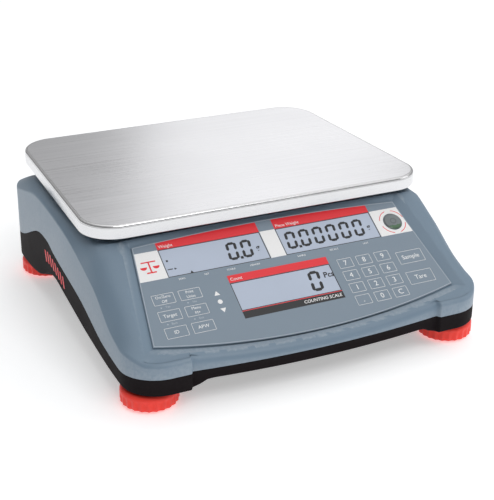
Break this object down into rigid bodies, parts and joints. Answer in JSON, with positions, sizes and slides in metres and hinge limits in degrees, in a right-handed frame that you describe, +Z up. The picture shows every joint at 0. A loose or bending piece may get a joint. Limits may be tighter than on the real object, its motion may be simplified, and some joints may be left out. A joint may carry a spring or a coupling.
{
  "type": "counting scale",
  "caption": "Bench counting scale: lift-off stainless pan on a load cell, inclined panel with displays and keys, moulded plastic housing and levelling screw feet.",
  "frame": {"origin": "centre of the housing's footprint, on the surface that the soles stand on", "axes": "+X to the operator's right, +Y away from the operator, +Z up"},
  "size_m": [0.3114, 0.325, 0.116],
  "materials": {
    "brushed_stainless": "brushed",
    "blue_grey_abs": "fine moulded texture",
    "black_abs": "fine moulded texture",
    "red_nylon": "satin",
    "grey_overlay": "satin film",
    "lcd_glass": "gloss",
    "vial_acrylic": "gloss",
    "black_rubber": "matt",
    "zinc_steel": "zinc plated",
    "aluminium": "machined",
    "cast_aluminium": "as cast",
    "circuit_board": "solder mask",
    "dark_case": "satin"
  },
  "bodies": {
    "housing": {"load_cell": "aluminium", "lower_spacer": "zinc_steel", "lower_bolt_1": "zinc_steel", "lower_bolt_2": "zinc_steel", "top_housing": "blue_grey_abs", "base_housing": "black_abs", "panel_overlay": "grey_overlay", "lcd_weight": "lcd_glass", "lcd_piece_weight": "lcd_glass", "lcd_count": "lcd_glass", "display_board": "circuit_board", "level_vial": "vial_acrylic", "mains_inlet": "black_abs", "serial_port": "zinc_steel", "battery": "dark_case", "main_board": "circuit_board", "power_supply": "dark_case", "housing_screw_1": "zinc_steel", "housing_screw_2": "zinc_steel", "housing_screw_3": "zinc_steel", "housing_screw_4": "zinc_steel"},
    "pan_carrier": {"pan_support": "cast_aluminium", "upper_spacer": "zinc_steel", "upper_bolt_1": "zinc_steel", "upper_bolt_2": "zinc_steel", "pan_pad_front_left": "black_rubber", "pan_pad_front_right": "black_rubber", "pan_pad_rear_left": "black_rubber", "pan_pad_rear_right": "black_rubber"},
    "pan": {"weighing_pan": "brushed_stainless"},
    "key_on_zero": {"key_on_zero": "grey_overlay"},
    "key_print_units": {"key_print_units": "grey_overlay"},
    "key_target": {"key_target": "grey_overlay"},
    "key_menu": {"key_menu": "grey_overlay"},
    "key_id": {"key_id": "grey_overlay"},
    "key_apw": {"key_apw": "grey_overlay"},
    "key_7": {"key_7": "grey_overlay"},
    "key_8": {"key_8": "grey_overlay"},
    "key_9": {"key_9": "grey_overlay"},
    "key_4": {"key_4": "grey_overlay"},
    "key_5": {"key_5": "grey_overlay"},
    "key_6": {"key_6": "grey_overlay"},
    "key_1": {"key_1": "grey_overlay"},
    "key_2": {"key_2": "grey_overlay"},
    "key_3": {"key_3": "grey_overlay"},
    "key_point": {"key_point": "grey_overlay"},
    "key_0": {"key_0": "grey_overlay"},
    "key_clear": {"key_clear": "grey_overlay"},
    "key_sample": {"key_sample": "grey_overlay"},
    "key_tare": {"key_tare": "grey_overlay"},
    "foot_sole_front_left": {"foot_sole_front_left": "black_rubber"},
    "foot_wheel_front_left": {"foot_wheel_front_left": "red_nylon"},
    "foot_sole_front_right": {"foot_sole_front_right": "black_rubber"},
    "foot_wheel_front_right": {"foot_wheel_front_right": "red_nylon"},
    "foot_sole_rear_left": {"foot_sole_rear_left": "black_rubber"},
    "foot_wheel_rear_left": {"foot_wheel_rear_left": "red_nylon"},
    "foot_sole_rear_right": {"foot_sole_rear_right": "black_rubber"},
    "foot_wheel_rear_right": {"foot_wheel_rear_right": "red_nylon"},
    "battery_cover": {"battery_cover": "black_abs"},
    "lock_switch": {"lock_switch": "dark_case"}
  },
  "joints": [
    {"name": "weighing_travel", "type": "slide", "parent": "housing", "child": "pan_carrier", "axis": [0, 0, -1], "range_m": [0, 0.0004], "stiffness_N_per_m": 80000, "springref_m": -0.0004, "deforming": ["load_cell"]},
    {"name": "pan_lift", "type": "slide", "parent": "pan_carrier", "child": "pan", "axis": [0, 0, 1], "range_m": [0, 0.06]},
    {"name": "key_on_zero_press", "type": "slide", "parent": "housing", "child": "key_on_zero", "axis": [0, 0.5226, -0.8526], "range_m": [0, 0.0005], "stiffness_N_per_m": 4000, "springref_m": -0.00005},
    {"name": "key_print_units_press", "type": "slide", "parent": "housing", "child": "key_print_units", "axis": [0, 0.5226, -0.8526], "range_m": [0, 0.0005], "stiffness_N_per_m": 4000, "springref_m": -0.00005},
    {"name": "key_target_press", "type": "slide", "parent": "housing", "child": "key_target", "axis": [0, 0.5226, -0.8526], "range_m": [0, 0.0005], "stiffness_N_per_m": 4000, "springref_m": -0.00005},
    {"name": "key_menu_press", "type": "slide", "parent": "housing", "child": "key_menu", "axis": [0, 0.5226, -0.8526], "range_m": [0, 0.0005], "stiffness_N_per_m": 4000, "springref_m": -0.00005},
    {"name": "key_id_press", "type": "slide", "parent": "housing", "child": "key_id", "axis": [0, 0.5226, -0.8526], "range_m": [0, 0.0005], "stiffness_N_per_m": 4000, "springref_m": -0.00005},
    {"name": "key_apw_press", "type": "slide", "parent": "housing", "child": "key_apw", "axis": [0, 0.5226, -0.8526], "range_m": [0, 0.0005], "stiffness_N_per_m": 4000, "springref_m": -0.00005},
    {"name": "key_7_press", "type": "slide", "parent": "housing", "child": "key_7", "axis": [0, 0.5226, -0.8526], "range_m": [0, 0.0005], "stiffness_N_per_m": 4000, "springref_m": -0.00005},
    {"name": "key_8_press", "type": "slide", "parent": "housing", "child": "key_8", "axis": [0, 0.5226, -0.8526], "range_m": [0, 0.0005], "stiffness_N_per_m": 4000, "springref_m": -0.00005},
    {"name": "key_9_press", "type": "slide", "parent": "housing", "child": "key_9", "axis": [0, 0.5226, -0.8526], "range_m": [0, 0.0005], "stiffness_N_per_m": 4000, "springref_m": -0.00005},
    {"name": "key_4_press", "type": "slide", "parent": "housing", "child": "key_4", "axis": [0, 0.5226, -0.8526], "range_m": [0, 0.0005], "stiffness_N_per_m": 4000, "springref_m": -0.00005},
    {"name": "key_5_press", "type": "slide", "parent": "housing", "child": "key_5", "axis": [0, 0.5226, -0.8526], "range_m": [0, 0.0005], "stiffness_N_per_m": 4000, "springref_m": -0.00005},
    {"name": "key_6_press", "type": "slide", "parent": "housing", "child": "key_6", "axis": [0, 0.5226, -0.8526], "range_m": [0, 0.0005], "stiffness_N_per_m": 4000, "springref_m": -0.00005},
    {"name": "key_1_press", "type": "slide", "parent": "housing", "child": "key_1", "axis": [0, 0.5226, -0.8526], "range_m": [0, 0.0005], "stiffness_N_per_m": 4000, "springref_m": -0.00005},
    {"name": "key_2_press", "type": "slide", "parent": "housing", "child": "key_2", "axis": [0, 0.5226, -0.8526], "range_m": [0, 0.0005], "stiffness_N_per_m": 4000, "springref_m": -0.00005},
    {"name": "key_3_press", "type": "slide", "parent": "housing", "child": "key_3", "axis": [0, 0.5226, -0.8526], "range_m": [0, 0.0005], "stiffness_N_per_m": 4000, "springref_m": -0.00005},
    {"name": "key_point_press", "type": "slide", "parent": "housing", "child": "key_point", "axis": [0, 0.5226, -0.8526], "range_m": [0, 0.0005], "stiffness_N_per_m": 4000, "springref_m": -0.00005},
    {"name": "key_0_press", "type": "slide", "parent": "housing", "child": "key_0", "axis": [0, 0.5226, -0.8526], "range_m": [0, 0.0005], "stiffness_N_per_m": 4000, "springref_m": -0.00005},
    {"name": "key_clear_press", "type": "slide", "parent": "housing", "child": "key_clear", "axis": [0, 0.5226, -0.8526], "range_m": [0, 0.0005], "stiffness_N_per_m": 4000, "springref_m": -0.00005},
    {"name": "key_sample_press", "type": "slide", "parent": "housing", "child": "key_sample", "axis": [0, 0.5226, -0.8526], "range_m": [0, 0.0005], "stiffness_N_per_m": 4000, "springref_m": -0.00005},
    {"name": "key_tare_press", "type": "slide", "parent": "housing", "child": "key_tare", "axis": [0, 0.5226, -0.8526], "range_m": [0, 0.0005], "stiffness_N_per_m": 4000, "springref_m": -0.00005},
    {"name": "foot_front_left_travel", "type": "slide", "parent": "housing", "child": "foot_sole_front_left", "axis": [0, 0, -1], "range_m": [0, 0.0063]},
    {"name": "foot_front_left_turn", "type": "hinge", "parent": "foot_sole_front_left", "child": "foot_wheel_front_left", "pos_m": [-0.133, -0.1312, 0], "axis": [0, 0, -1], "range_deg": [0, 1800]},
    {"name": "foot_front_right_travel", "type": "slide", "parent": "housing", "child": "foot_sole_front_right", "axis": [0, 0, -1], "range_m": [0, 0.0063]},
    {"name": "foot_front_right_turn", "type": "hinge", "parent": "foot_sole_front_right", "child": "foot_wheel_front_right", "pos_m": [0.133, -0.1312, 0], "axis": [0, 0, -1], "range_deg": [0, 1800]},
    {"name": "foot_rear_left_travel", "type": "slide", "parent": "housing", "child": "foot_sole_rear_left", "axis": [0, 0, -1], "range_m": [0, 0.0063]},
    {"name": "foot_rear_left_turn", "type": "hinge", "parent": "foot_sole_rear_left", "child": "foot_wheel_rear_left", "pos_m": [-0.133, 0.1298, 0], "axis": [0, 0, -1], "range_deg": [0, 1800]},
    {"name": "foot_rear_right_travel", "type": "slide", "parent": "housing", "child": "foot_sole_rear_right", "axis": [0, 0, -1], "range_m": [0, 0.0063]},
    {"name": "foot_rear_right_turn", "type": "hinge", "parent": "foot_sole_rear_right", "child": "foot_wheel_rear_right", "pos_m": [0.133, 0.1298, 0], "axis": [0, 0, -1], "range_deg": [0, 1800]},
    {"name": "battery_cover_release", "type": "slide", "parent": "housing", "child": "battery_cover", "axis": [0, 0, -1], "range_m": [0, 0.013]},
    {"name": "lock_switch_slide", "type": "slide", "parent": "housing", "child": "lock_switch", "axis": [1, 0, 0], "range_m": [0, 0.004]}
  ],
  "couplings": [
    {"joint": "foot_front_left_travel", "follows": "foot_front_left_turn", "m_per_rad": 0.00019894},
    {"joint": "foot_front_right_travel", "follows": "foot_front_right_turn", "m_per_rad": 0.00019894},
    {"joint": "foot_rear_left_travel", "follows": "foot_rear_left_turn", "m_per_rad": 0.00019894},
    {"joint": "foot_rear_right_travel", "follows": "foot_rear_right_turn", "m_per_rad": 0.00019894}
  ]
}
